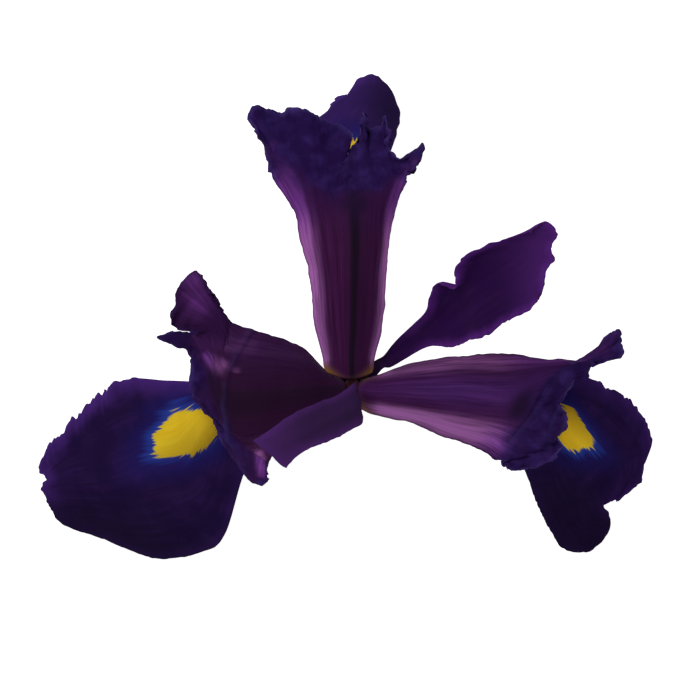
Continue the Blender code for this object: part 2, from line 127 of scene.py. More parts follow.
STANDARD_FRONT = (
    ((-0.6, -2.9, 20.8), (0.3, -3.1, 20.6), (1.2, -2.9, 20.8)),
    ((-1.0, -4.0, 25.3), (-0.1, -4.3, 25), (0.8, -4.0, 25.3)),
    ((-0.9, -3.4, 30.2), (0.3, -5.0, 30.4), (1.4, -5.6, 30.1)),
    ((0.6, 0.4, 33.4), (1.2, -2.8, 33.8), (1.95, -5.9, 33.3)),
    ((-0.5, -0.4, 34.8), (0.6, -3.8, 35.6), (1.75, -6.95, 35)),
    ((-2.2, -1.6, 36.4), (-1.4, -4.9, 37.4), (0.5, -7.7, 37)),
    ((-6.6, -3.3, 40.2), (-5.5, -6.9, 41.4), (-3.6, -9.7, 41.6)),
    ((-11.6, -5.8, 43.8), (-10.0, -9.0, 45), (-7.8, -11.4, 45)),
    ((-14.8, -8.2, 45.6), (-12.6, -10.6, 46.6), (-10.2, -13.0, 46.4)),
    ((-17.4, -9.9, 46.8), (-15.4, -11.4, 47), (-13.9, -12.7, 46.8), (-12.8, -13.8, 46.8),
     (-11.5, -14.6, 46.8)),
)
STANDARD_LEFT = (
    ((-2.0, 1.9, 20.6), (-2.5, 1.2, 20.4), (-2.9, 0.5, 20.6)),
    ((-6.0, 2.9, 20.2), (-6.4, 2.0, 20), (-6.7, 1.0, 20.2)),
    ((-11.6, 3.6, 19), (-12, 2.0, 18.6), (-12.4, 0.2, 19)),
    ((-18, 2.0, 17.4), (-19, -1.5, 16.6), (-20, -5, 17.4)),
    ((-25.5, -1, 14), (-27, -7.5, 13), (-29, -13.5, 13.4)),
    ((-34, -4.5, 9), (-35, -12, 8), (-36, -19, 8.2)),
    ((-41, -9, 5), (-41.5, -15.5, 4), (-41.5, -21.5, 3.8)),
    ((-45, -15, 2.4), (-46, -18, 2), (-45, -21, 1.8)),
)
ARM_REAR = (
    ((-4.9, 2.3, 27.8), (-0.3, 1.1, 28.6), (3.9, 2.2, 27.6)),
    ((-5.0, 3.4, 27.7), (-0.4, 3.2, 29.5), (3.8, 3.3, 27.5)),
    ((-5.2, 4.8, 27.2), (-0.4, 6.0, 30.1), (4.1, 5.1, 27.2)),
    ((-6.7, 10.5, 27.7), (-0.2, 11.5, 31.4), (5.4, 10.4, 27.7)),
    ((-7.4, 17.5, 28.7), (-0.1, 18.5, 32.6), (6.2, 17.5, 28.7)),
    ((-9.2, 26, 29.9), (0, 26.5, 33), (6.6, 26, 29.9)),
    ((-10.8, 32, 31.2), (-0.4, 32.8, 33), (8.1, 32.2, 31.5)),
    ((-13.9, 36.6, 33.6, 0), (-9.6, 38.2, 34.4, 0.15), (-5, 38.2, 34, 0.32), (-0.9, 37.2, 32.8, 0.48),
     (2.2, 38, 33.4, 0.6), (6.6, 37.4, 33.8, 0.8), (9.9, 36.6, 34.8, 1)),
    ((-15.0, 42.2, 36.2), (-16.6, 44.2, 37.6), (-17.5, 46.0, 38.6), (-18.2, 47.8, 39.2), (-17.7, 49.2, 39.2),
     (-16.3, 49.2, 38.4), (-13.6, 48.4, 37.2), (-12.2, 47.8, 37.2), (-11.4, 48.7, 38), (-8.2, 48.9, 38.6),
     (-6.4, 47.8, 38), (-4.4, 46.6, 36.4), (-1.1, 45.4, 35.2), (0.3, 44.3, 34.7), (-0.98, 42.3, 33.6),
     (-1.9, 39.7, 32.8), (0.0, 42.0, 33.5), (0.8, 44.5, 34.8), (2.1, 47.8, 36.6), (2.3, 45.2, 35.4),
     (4.8, 45.4, 36), (5.7, 47.3, 37), (6.2, 44.6, 36), (7.0, 41.6, 35.2), (8.4, 40.4, 35.8),
     (10.4, 40.8, 37.2), (12.5, 42.4, 39.3), (12.0, 40.3, 38.2), (10.6, 38.2, 36.2)),
)
ARM_LEFT = (
    ((-2.1, 0.95, 26.4), (-1.25, -0.5, 28.6), (-1.3, -2.8, 27.2)),
    ((-4.7, 2.5, 26.1), (-3.7, -0.6, 28.9), (-2.6, -4.4, 26.8)),
    ((-8.0, 5.9, 26.7), (-7.2, -1.0, 30.3), (-4.8, -7.2, 27)),
    ((-12.2, 8.1, 27.9), (-12.6, -1.6, 31.6), (-9.6, -10.3, 28)),
    ((-16.7, 9.3, 29.5), (-18, -2.2, 32.4), (-13.7, -12.3, 29)),
    ((-19.9, 10.4, 30.8), (-22, -2.2, 32.2), (-14.7, -13.6, 29.9)),
    ((-22.5, 12.4, 33, 0), (-25.8, 9.4, 33.2, 0.33), (-27.4, 7.2, 33, 0.445), (-27.1, 5.0, 32.4, 0.54),
     (-26.4, -0.6, 31.4, 0.64), (-23.9, -6.4, 31, 0.76), (-19.8, -11.8, 30.8, 0.88), (-14.9, -14.6, 30.4, 1)),
    ((-24.5, 15.0, 35.8), (-26.6, 19.2, 38.2), (-27.6, 20.1, 38.4), (-29.6, 18.6, 38), (-31.1, 17.0, 37.8),
     (-31.3, 14.4, 37.4), (-32.4, 11.8, 36.4), (-31.6, 10.1, 35.6), (-28.2, 9.2, 34.2), (-32.8, 9.0, 34.2),
     (-34.5, 8.5, 34.2), (-31.6, 6.9, 33.2), (-29.3, 5.9, 32.6), (-28.9, 0.5, 31.2), (-28.1, -2.8, 30.8),
     (-25.4, -5.4, 30.4), (-23.6, -9.4, 30.2), (-19.5, -15.6, 30.4), (-17.6, -17.6, 31), (-16.1, -18.0, 31),
     (-15.2, -16.8, 31)),
)
ARM_RIGHT = (
    ((1.9, 0.8, 26.3), (1.25, -1.0, 28.6), (1.65, -4.9, 26.7)),
    ((4.4, 1.5, 26.4), (3.6, -1.4, 28.9), (4.0, -5.4, 26.8)),
    ((8.2, 2.95, 27), (7, -1.5, 30.2), (6.6, -6.0, 27)),
    ((13.5, 4.4, 28), (12.5, -1.8, 31.6), (11.4, -7.1, 28)),
    ((20, 5.2, 29), (20, -2.2, 32.8), (17.5, -9.7, 29)),
    ((28, 5.5, 30), (28.5, -2.8, 32.8), (22.8, -11.6, 30.2)),
    ((36.4, 4.5, 31.8, 0), (37.6, 3.8, 33, 0.15), (37.8, 2.4, 33, 0.35), (36.2, 0.2, 32.8, 0.45),
     (34.4, -3.6, 32.4, 0.58), (33.6, -7.4, 32.4, 0.7), (31.4, -11.8, 32, 0.86), (26.5, -13.9, 31, 1)),
    ((41.4, 5.3, 34.8, 0), (42.5, 4.5, 35.8, 0.15), (40.8, 2.5, 34.6, 0.35), (38.8, 0.4, 33.4, 0.45),
     (36.2, -3.4, 32, 0.58), (36.6, -7.4, 32.1, 0.7), (34.8, -11.8, 32.1, 0.86), (27.2, -14.5, 31.4, 1)),
    ((45.7, 8.9, 38.3, 0), (47.2, 9.4, 38.8, 0.07), (47.3, 7.6, 38.6, 0.12), (48.3, 6.4, 38.6, 0.17),
     (47.6, 4.9, 38, 0.22), (45.2, 4.2, 37, 0.28), (42.4, 3.1, 35.2, 0.36), (42.4, 1.7, 34.4, 0.4),
     (40.6, 1.0, 34, 0.44), (38.6, -1.2, 32.4, 0.51), (37.0, -3.2, 31.6, 0.58), (38.5, -5.8, 31.6, 0.66),
     (38.6, -7.6, 31.8, 0.71), (37.1, -9.6, 32, 0.77), (37.2, -11.4, 32.2, 0.82), (35.4, -12.9, 32.2, 0.87),
     (31, -14.9, 32.2, 0.94), (28.8, -15.5, 32, 0.97), (27.4, -14.8, 31.6, 1)),
)


# ---------------------------------------------------------------- petal shapes

def smooth_through(knots, values, at):
    """Curve through the values, each tangent taken from the parabola of three neighbours."""
    step = np.diff(knots).reshape((-1,) + (1,) * (values.ndim - 1))
    slope = np.diff(values, axis=0) / step
    inner = (step[1:] * slope[:-1] + step[:-1] * slope[1:]) / (step[1:] + step[:-1])
    tangent = np.concatenate([2 * slope[:1] - inner[:1], inner, 2 * slope[-1:] - inner[-1:]])
    cell = np.clip(np.searchsorted(knots, at, side="right") - 1, 0, len(knots) - 2)
    width = step[cell]
    u = (at - knots[cell]).reshape(width.shape) / width
    return ((1 + 2 * u) * (1 - u) ** 2 * values[cell] + u * (1 - u) ** 2 * width * tangent[cell]
            + u * u * (3 - 2 * u) * values[cell + 1] + u * u * (u - 1) * width * tangent[cell + 1])


def run_lengths(points, axis):
    """Distance travelled along an axis of a grid of points, from its start."""
    steps = np.linalg.norm(np.diff(points, axis=axis), axis=-1)
    start = np.zeros_like(np.take(steps, [0], axis=axis))
    return np.concatenate([start, np.cumsum(steps, axis=axis)], axis=axis)


def petal_surface(rows, cells):
    """The smooth petal: every row is sampled across, then joined along."""
    lanes = np.linspace(0, 1, cells[1] + 1)
    sampled = []
    for row in rows:
        row = np.array(row, float)
        if row.shape[1] == 4:
            knots = row[:, 3]
        elif len(row) == 3:
            knots = np.linspace(0, 1, 3)
        else:
            knots = run_lengths(row, 0) / run_lengths(row, 0)[-1]
        sampled.append(smooth_through(knots, row[:, :3], lanes))
    table = np.array(sampled)
    along = run_lengths(table[:, cells[1] // 2], 0)
    return smooth_through(along, table, np.linspace(0, along[-1], cells[0] + 1))


def soft_noise(x, y, seed):
    """Smooth noise from -1 to 1 over the plane."""
    size = 64
    lattice = np.random.default_rng(seed).uniform(-1, 1, (size, size))
    ix, iy = np.floor(x).astype(int), np.floor(y).astype(int)
    u, v = x - ix, y - iy
    u, v = u * u * (3 - 2 * u), v * v * (3 - 2 * v)
    near = lattice[ix % size, iy % size] * (1 - u) + lattice[(ix + 1) % size, iy % size] * u
    far = lattice[ix % size, (iy + 1) % size] * (1 - u) + lattice[(ix + 1) % size, (iy + 1) % size] * u
    return near * (1 - v) + far * v


def unit(vectors):
    return vectors / np.maximum(np.linalg.norm(vectors, axis=-1, keepdims=True), 1e-9)


def petal_frame(points):
    """Outward normal, across and along directions at each point of the grid."""
    along = unit(np.gradient(points, axis=0))
    across = unit(np.gradient(points, axis=1))
    return unit(np.cross(along, across)), across, along


def measure(points):
    """Millimetres along the petal, aside from its middle line, and in from its nearest free margin."""
    middle = points.shape[1] // 2
    along = run_lengths(points, 0)
    across = run_lengths(points, 1)
    aside = across - across[:, middle:middle + 1]
    to_side = np.minimum(across, across[:, -1:] - across)
    to_tip = along[-1:] - along
    return along, aside, np.minimum(to_side, to_tip)


def ruffle(points, style, seed):
    """Bends the margin into waves and cuts it into small teeth, both in millimetres."""
    along, aside, edge = measure(points)
    normal, across, run = petal_frame(points)
    growth = np.clip((along / along[-1:] - style["from"]) / GROW_OVER, 0, 1)
    growth = growth * np.interp(np.linspace(-1, 1, points.shape[1]), (-0.6, 0.6), style["sides"])
    wave = growth * np.exp(-(edge / style["depth"]) ** 2)
    length = style["length"]
    lift = soft_noise(along / length + 7, aside / length + 3, seed)
    lift += 0.45 * soft_noise(along / length * 2.3, aside / length * 2.3, seed + 1)
    points = points + normal * (style["height"] * wave * lift)[..., None]
    bite = growth * np.exp(-edge / TOOTH_REACH)
    tooth = soft_noise(along / FINE_TOOTH, aside / FINE_TOOTH, seed + 2)
    tooth += soft_noise(along / BROAD_TOOTH, aside / BROAD_TOOTH, seed + 3)
    lanes = np.linspace(-1, 1, points.shape[1])[None, :]
    side = across * (np.sign(lanes) * np.abs(lanes) ** 6)[..., None]
    tip = run * np.exp(-(along[-1:] - along) / TIP_REACH)[..., None]
    return points + unit(side + tip + 1e-6) * (style["teeth"] * bite * tooth)[..., None]


def crumple(points, height, size, seed):
    """Broad soft unevenness, which no living petal lacks."""
    along, aside, _ = measure(points)
    normal = petal_frame(points)[0]
    grown = np.clip(along / 12, 0, 1)
    lift = soft_noise(along / size, aside / size, seed)
    lift += 0.4 * soft_noise(along / size * 2.7, aside / size * 2.7, seed + 1)
    return points + normal * (height * grown * lift)[..., None]


def ridge(points, height, width):
    """A keel along the middle line."""
    along, aside, _ = measure(points)
    normal = petal_frame(points)[0]
    fade = np.clip(along / 8, 0, 1) * np.clip((along[-1:] - along) / 20, 0, 1)
    return points + normal * (height * fade * np.exp(-(aside / width) ** 2))[..., None]


def near_path(points, path, width):
    """1 on a line drawn over the petal as seen from above, fading to 0 beside it."""
    path = np.array(path, float)
    plan = points[..., :2]
    gap = np.full(plan.shape[:2], 1e3)
    for start, run in zip(path[:-1], np.diff(path, axis=0)):
        share = np.clip((plan - start) @ run / (run @ run), 0, 1)
        gap = np.minimum(gap, np.linalg.norm(plan - start - share[..., None] * run, axis=-1))
    return np.exp(-(gap / width) ** 2)


def band(lane, weight, place, width):
    """A soft stripe along the petal, of the given weight in its middle."""
    return weight * np.exp(-((lane - place) / width) ** 2)


def stronger_band(lane, bands):
    """Two soft stripes along the petal, whichever is stronger at each place."""
    return np.maximum(*(band(lane, *each) for each in bands))


def grid_faces(lines, lanes):
    corner = (np.arange(lines - 1)[:, None] * lanes + np.arange(lanes - 1)[None, :]).ravel()
    return np.stack([corner, corner + 1, corner + lanes + 1, corner + lanes], axis=1)


def add_attribute(mesh, name, values):
    layer = mesh.attributes.new(name, "FLOAT", "POINT")
    layer.data.foreach_set("value", np.ascontiguousarray(values, np.float32).ravel())


def place_piece(name, mesh, material):
    """A smooth piece of one material, on the flower's axis."""
    mesh.shade_smooth()
    mesh.materials.append(material)
    piece = bpy.data.objects.new(name, mesh)
    bpy.context.scene.collection.objects.link(piece)
    piece.location = (AXIS[0], AXIS[1], 0)
    return piece


def settle(piece, node):
    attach(piece, "root")
    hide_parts(node)


def add_petal(name, points, material, extra):
    """The sheet's two faces, thinner at the margin, with its measures for the material."""
    along, aside, edge = measure(points)
    lines, lanes = points.shape[:2]
    mesh = bpy.data.meshes.new(name)
    mesh.from_pydata((points.reshape(-1, 3) * MM).tolist(), [], grid_faces(lines, lanes).tolist())
    add_attribute(mesh, "along", along)
    add_attribute(mesh, "aside", aside)
    add_attribute(mesh, "edge", edge)
    add_attribute(mesh, "reach", np.repeat(np.linspace(0, 1, lines)[:, None], lanes, axis=1))
    add_attribute(mesh, "lane", np.repeat(np.linspace(-1, 1, lanes)[None, :], lines, axis=0))
    for key, values in extra.items():
        add_attribute(mesh, key, values)
    piece = place_piece(name, mesh, material)
    thin = piece.vertex_groups.new(name="thickness")
    weight = np.clip(edge / THIN_BAND, 0, 1).ravel()
    for level in range(THIN_STEPS + 1):
        chosen = np.nonzero(np.round(weight * THIN_STEPS) == level)[0]
        thin.add(chosen.tolist(), level / THIN_STEPS, "REPLACE")
    solid = piece.modifiers.new("thickness", "SOLIDIFY")
    solid.thickness = PETAL_THICK * MM
    solid.offset = 0
    solid.vertex_group = "thickness"
    solid.thickness_vertex_group = MARGIN_THICK
    settle(piece, name)


# ---------------------------------------------------------------- materials

def srgb(red, green, blue):
    """A screen colour of 0 to 255 as linear light."""
    linear = []
    for channel in (red, green, blue):
        share = channel / 255
        linear.append(share / 12.92 if channel <= 10 else ((share + 0.055) / 1.055) ** 2.4)
    return (*linear, 1)


class Paint:
    """Short words for building a material's nodes."""

    def __init__(self, name):
        self.material = bpy.data.materials.new(name)
        self.material.use_nodes = True
        self.tree = self.material.node_tree
        self.shader = self.tree.nodes["Principled BSDF"]

    def put(self, socket, value):
        if isinstance(value, bpy.types.NodeSocket):
            self.tree.links.new(value, socket)
        else:
            socket.default_value = value

    def read(self, name):
        node = self.tree.nodes.new("ShaderNodeAttribute")
        node.attribute_name = name
        return node.outputs["Fac"]

    def math(self, operation, first, second):
        node = self.tree.nodes.new("ShaderNodeMath")
        node.operation = operation
        self.put(node.inputs[0], first)
        self.put(node.inputs[1], second)
        return node.outputs[0]

    def plus(self, first, second):
        return self.math("ADD", first, second)

    def times(self, first, second):
        return self.math("MULTIPLY", first, second)

    def spread(self, value, low, high, to_low=0.0, to_high=1.0):
        node = self.tree.nodes.new("ShaderNodeMapRange")
        node.interpolation_type = "SMOOTHSTEP"
        for place, number in enumerate((value, low, high, to_low, to_high)):
            self.put(node.inputs[place], number)
        return node.outputs[0]

    def point(self, x, y):
        node = self.tree.nodes.new("ShaderNodeCombineXYZ")
        self.put(node.inputs[0], x)
        self.put(node.inputs[1], y)
        return node.outputs[0]

    def place(self):
        return self.tree.nodes.new("ShaderNodeTexCoord").outputs["Object"]

    def noise(self, vector, scale, detail):
        node = self.tree.nodes.new("ShaderNodeTexNoise")
        self.put(node.inputs["Vector"], vector)
        node.inputs["Scale"].default_value = scale
        node.inputs["Detail"].default_value = detail
        node.inputs["Roughness"].default_value = 0.55
        return node.outputs["Fac"]

    def mix(self, factor, first, second):
        node = self.tree.nodes.new("ShaderNodeMix")
        node.data_type = "RGBA"
        self.put(node.inputs[0], factor)
        self.put(node.inputs[6], first)
        self.put(node.inputs[7], second)
        return node.outputs[2]

    def bump(self, height, strength, distance):
        node = self.tree.nodes.new("ShaderNodeBump")
        node.inputs["Strength"].default_value = strength
        node.inputs["Distance"].default_value = distance
        self.put(node.inputs["Height"], height)
        self.put(self.shader.inputs["Normal"], node.outputs[0])
        return node.outputs[0]

    def let_light_through(self, colour, share, normal):
        """Part of the light that falls on the far side comes through, tinted."""
        behind = self.tree.nodes.new("ShaderNodeBsdfTranslucent")
        self.put(behind.inputs["Color"], colour)
        self.put(behind.inputs["Normal"], normal)
        both = self.tree.nodes.new("ShaderNodeMixShader")
        self.put(both.inputs[0], share)
        self.put(both.inputs[1], self.shader.outputs[0])
        self.put(both.inputs[2], behind.outputs[0])
        self.put(self.tree.nodes["Material Output"].inputs["Surface"], both.outputs[0])


def streaks(paint, fine):
    """Veins that run along the petal and fan out with it, from 0 to 1."""
    reach, lane = paint.read("reach"), paint.read("lane")
    broad = paint.noise(paint.point(paint.times(reach, 2.2), paint.times(lane, 9 * fine)), 1, 2)
    narrow = paint.noise(paint.point(paint.times(reach, 5), paint.times(lane, 34 * fine)), 1, 2)
    return paint.plus(paint.times(broad, 0.55), paint.times(narrow, 0.45))


def skin(paint, colour, veins, through, share, gloss, rough=0.55):
    """What all petals share: velvet skin, raised veins and light through the sheet."""
    grain = paint.noise(paint.place(), 2600, 2)
    height = paint.plus(paint.times(veins, 0.8), paint.times(grain, 0.25))
    normal = paint.bump(height, 0.55, 0.00022)
    paint.put(paint.shader.inputs["Base Color"], colour)
    paint.put(paint.shader.inputs["Roughness"], paint.spread(grain, 0.25, 0.75, rough - 0.1, rough + 0.12))
    paint.shader.inputs["Specular IOR Level"].default_value = gloss
    paint.let_light_through(through, share, normal)
    return paint.material


def fall_material():
    """Dark indigo with a violet margin, a blue halo and the ragged yellow signal; painted shade darkens the
    blade towards its tip on one side, and over one side of the signal.
    """
    paint = Paint("fall_skin")
    veins = streaks(paint, 1.0)
    edge = paint.read("edge")
    cloud = paint.noise(paint.place(), 170, 3)
    margin = paint.spread(paint.plus(edge, paint.times(cloud, 3.0)), 1.2, 6.0, 1, 0)
    margin = paint.times(margin, paint.spread(paint.read("lane"), -0.5, 0.7, 1, 0.2))
    margin = paint.times(margin, paint.read("trim"))
    base = paint.mix(paint.spread(veins, 0.25, 0.75), srgb(37, 22, 59), srgb(55, 31, 90))
    base = paint.mix(paint.times(paint.spread(cloud, 0.35, 0.65), 0.8), base, srgb(35, 21, 63))
    base = paint.mix(paint.times(margin, 0.8), base, srgb(84, 47, 132))
    base = paint.mix(paint.read("pale"), base, srgb(78, 48, 128))
    # painted shade: the blade is painted darker towards its right margin and its tip
    to_right = paint.spread(paint.read("lane"), -0.2, 0.6)
    side_shade = paint.times(to_right, paint.spread(paint.read("reach"), 0.45, 0.85))
    base = paint.mix(paint.times(side_shade, 0.6), base, srgb(27, 21, 38))
    # painted shade: one side of the signal is painted darker, its yellow turning olive and its blue halo
    # fading there
    signal, signal_shade = paint.read("signal"), paint.read("signal_shade")
    glow = paint.times(paint.spread(signal_shade, 0, 1, 0.9, 0.2), paint.spread(paint.read("pale"), 0, 0.3, 1, 0.25))
    ragged = paint.times(paint.plus(veins, -0.5), 1.5)
    distance = paint.plus(signal, paint.times(ragged, paint.spread(signal, 0.5, 1.1, 0, 1)))
    base = paint.mix(paint.times(paint.spread(distance, 1.0, 2.5, 1, 0), 0.75), base, srgb(38, 34, 112))
    base = paint.mix(paint.times(paint.spread(distance, 0.95, 1.5, 1, 0), glow), base, srgb(48, 74, 176))
    yellow = paint.mix(veins, srgb(222, 176, 26), srgb(255, 238, 62))
    yellow = paint.mix(paint.times(signal_shade, 0.75), yellow, srgb(140, 112, 34))
    inside = paint.spread(distance, 0.92, 1.04, 1, 0)
    colour = paint.mix(inside, base, yellow)
    through = paint.mix(inside, paint.mix(margin, srgb(40, 8, 100), srgb(96, 30, 160)), srgb(255, 205, 60))
    return skin(paint, colour, veins, through, 0.24, 0.0)


def standard_material():
    """Dark violet, lighter along the margins and at the tip, with soft patches and fine veins."""
    paint = Paint("standard_skin")
    veins = streaks(paint, 0.8)
    cloud = paint.noise(paint.place(), 150, 3)
    edge = paint.read("edge")
    margin = paint.spread(paint.plus(edge, paint.times(cloud, 2.5)), 0.8, 3.6, 1, 0)
    base = paint.mix(paint.spread(veins, 0.25, 0.75), srgb(39, 15, 54), srgb(62, 27, 86))
    base = paint.mix(paint.times(paint.spread(cloud, 0.35, 0.65), 0.8), base, srgb(50, 19, 76))
    margin = paint.times(margin, paint.spread(paint.read("reach"), 0.2, 0.5))
    base = paint.mix(paint.times(margin, 0.75), base, srgb(112, 50, 150))
    base = paint.mix(paint.times(paint.spread(paint.read("reach"), 0.7, 1.0), 0.6), base, srgb(100, 46, 136))
    base = paint.mix(paint.read("wash"), base, srgb(76, 50, 92))
    claw = paint.spread(paint.read("reach"), 0.03, 0.3, 1, 0)
    base = paint.mix(paint.times(claw, 0.6), base, srgb(58, 32, 62))
    through = paint.mix(margin, srgb(70, 14, 120), srgb(130, 46, 180))
    return skin(paint, base, veins, through, 0.30, 0.02)


def arm_material():
    """Wine purple with a dark blue violet crest; painted shade on the ridge and throat, painted backlight on
    the thin margins and painted highlights along the crest's rim and folds.
    """
    paint = Paint("style_arm_skin")
    veins = streaks(paint, 1.2)
    reach, edge = paint.read("reach"), paint.read("edge")
    glow, dark, violet = paint.read("glow"), paint.read("dark"), paint.read("violet")
    crest, fold = paint.read("crest"), paint.read("fold")
    cloud = paint.noise(paint.place(), 190, 3)
    vary = paint.spread(veins, 0.3, 0.7, -0.5, 0.5)
    base = paint.mix(paint.spread(veins, 0.25, 0.75), srgb(56, 18, 56), srgb(92, 36, 96))
    purple = paint.mix(paint.spread(veins, 0.25, 0.75), srgb(64, 28, 90), srgb(108, 58, 146))
    base = paint.mix(violet, base, purple)
    # painted shade: the ridge and the throat before the crest are painted nearly black
    shade = paint.spread(paint.plus(dark, paint.times(vary, 0.3)), 0.05, 1.0)
    base = paint.mix(shade, base, srgb(36, 24, 42))
    uneven = paint.plus(paint.times(vary, 0.8), 1.0)
    # painted backlight: the thin margins are painted light orchid, as if lit through from beneath
    backlit = paint.spread(paint.times(glow, uneven), 0.04, 1.1)
    backlit = paint.times(backlit, paint.spread(edge, 0.1, 0.7, 0.55, 1))
    high = paint.spread(reach, 0.6, 0.85)
    base = paint.mix(paint.times(high, 0.4), base, srgb(62, 30, 92))
    base = paint.mix(backlit, base, paint.mix(high, srgb(182, 118, 186), srgb(134, 78, 172)))
    crest = paint.spread(paint.plus(crest, paint.times(paint.plus(cloud, -0.5), 1.0)), 0.2, 0.8)
    frill = paint.mix(veins, srgb(30, 14, 54), srgb(62, 34, 104))
    base = paint.mix(paint.times(crest, 0.95), base, frill)
    mottle = paint.spread(paint.noise(paint.place(), 430, 3), 0.4, 0.75, 0, 0.3)
    base = paint.mix(paint.times(crest, mottle), base, srgb(92, 66, 160))
    # painted highlight: a soft light rim along the crest's margin
    rim = paint.times(crest, paint.spread(edge, 0.1, 1.3, 1, 0))
    base = paint.mix(paint.times(rim, paint.spread(cloud, 0.35, 0.65, 0.1, 0.55)), base, srgb(94, 72, 154))
    # painted highlight: a bluish light line along each fold
    base = paint.mix(paint.times(fold, paint.spread(cloud, 0.35, 0.65, 0.05, 0.5)), base, srgb(66, 56, 118))
    amber = paint.mix(cloud, srgb(136, 94, 38), srgb(232, 168, 66))
    amber = paint.mix(paint.spread(reach, 0.0, 0.02), srgb(64, 34, 36), amber)
    base = paint.mix(paint.read("foot"), base, amber)
    lit = paint.mix(backlit, srgb(90, 14, 86), srgb(224, 140, 232))
    through = paint.mix(crest, lit, srgb(56, 26, 130))
    return skin(paint, base, veins, through, 0.34, 0.025, 0.5)


def plain_plant_material(name, dark, light, size, through_share=0.15, gloss=0.3):
    """Waxy tissue with streaks along its own length."""
    paint = Paint(name)
    scaled = paint.tree.nodes.new("ShaderNodeMapping")
    scaled.inputs["Scale"].default_value = (1, 1, 0.25)
    paint.put(scaled.inputs["Vector"], paint.place())
    streak = paint.noise(scaled.outputs[0], size, 3)
    grain = paint.noise(paint.place(), size * 4, 2)
    colour = paint.mix(streak, dark, light)
    paint.put(paint.shader.inputs["Base Color"], paint.mix(paint.times(grain, 0.3), colour, dark))
    paint.put(paint.shader.inputs["Roughness"], paint.spread(grain, 0.2, 0.8, 0.38, 0.6))
    paint.shader.inputs["Specular IOR Level"].default_value = gloss
    normal = paint.bump(paint.plus(streak, paint.times(grain, 0.4)), 0.5, 0.0002)
    paint.let_light_through(light, through_share, normal)
    return paint.material


# ---------------------------------------------------------------- pieces

FALL_EDGE = {"from": 0.55, "depth": 3.4, "height": 0.9, "length": 5.0, "teeth": 0.6, "sides": (1, 0.2)}
STANDARD_EDGE = {"from": 0.45, "depth": 2.6, "height": 0.6, "length": 4.5, "teeth": 0.2, "sides": (1, 1)}
FLAP_EDGE = {"from": 0.45, "depth": 2.6, "height": 0.3, "length": 4.5, "teeth": 0.07, "sides": (1, 1)}
CREST_EDGE = {"from": 0.8, "depth": 4.5, "height": 1.0, "length": 3.6, "teeth": 0.26, "sides": (1, 1)}
FRILL = {"from": 0.84, "depth": 3.0, "height": 0.4, "length": 1.5, "teeth": 0.1, "sides": (1, 1)}
FAN_EDGE = {"from": 0.8, "depth": 4.5, "height": 0.6, "length": 3.6, "teeth": 0.1, "sides": (1, 1)}
ARM_SIDE = {"from": 0.12, "depth": 1.6, "height": 0.25, "length": 4.0, "teeth": 0.1, "sides": (1, 1)}

# Each fall's rows, how pale its blade is and how strong its violet margin.
FALLS = {
    "fall_rear": (FALL_REAR, 0.3, 1),
    "fall_left": (FALL_LEFT, 0, 1),
    "fall_right": (FALL_RIGHT, 0, 0.5),
}

# Each standard's rows, the style of its margin and how strongly a grey lilac washes over it.
STANDARDS = {
    "standard_right": (STANDARD_RIGHT, STANDARD_EDGE, 0),
    "standard_front": (STANDARD_FRONT, FLAP_EDGE, 0.5),
    "standard_left": (STANDARD_LEFT, STANDARD_EDGE, 0),
}

# Each fall's signal as seen from above: its centre, then from there to its far end and to one side of it,
# and how much wider it is at the far end.
SIGNALS = {
    "fall_rear": ((-0.6, 40.2), (0, 3.9), (2.2, 0), 0.0),
    "fall_left": ((-29.7, -8.8), (-5.5, -0.4), (-2.2, -4.4), 0.1),
    "fall_right": ((39.7, -8.1), (1.6, -4.0), (2.8, -0.15), 0.35),
}

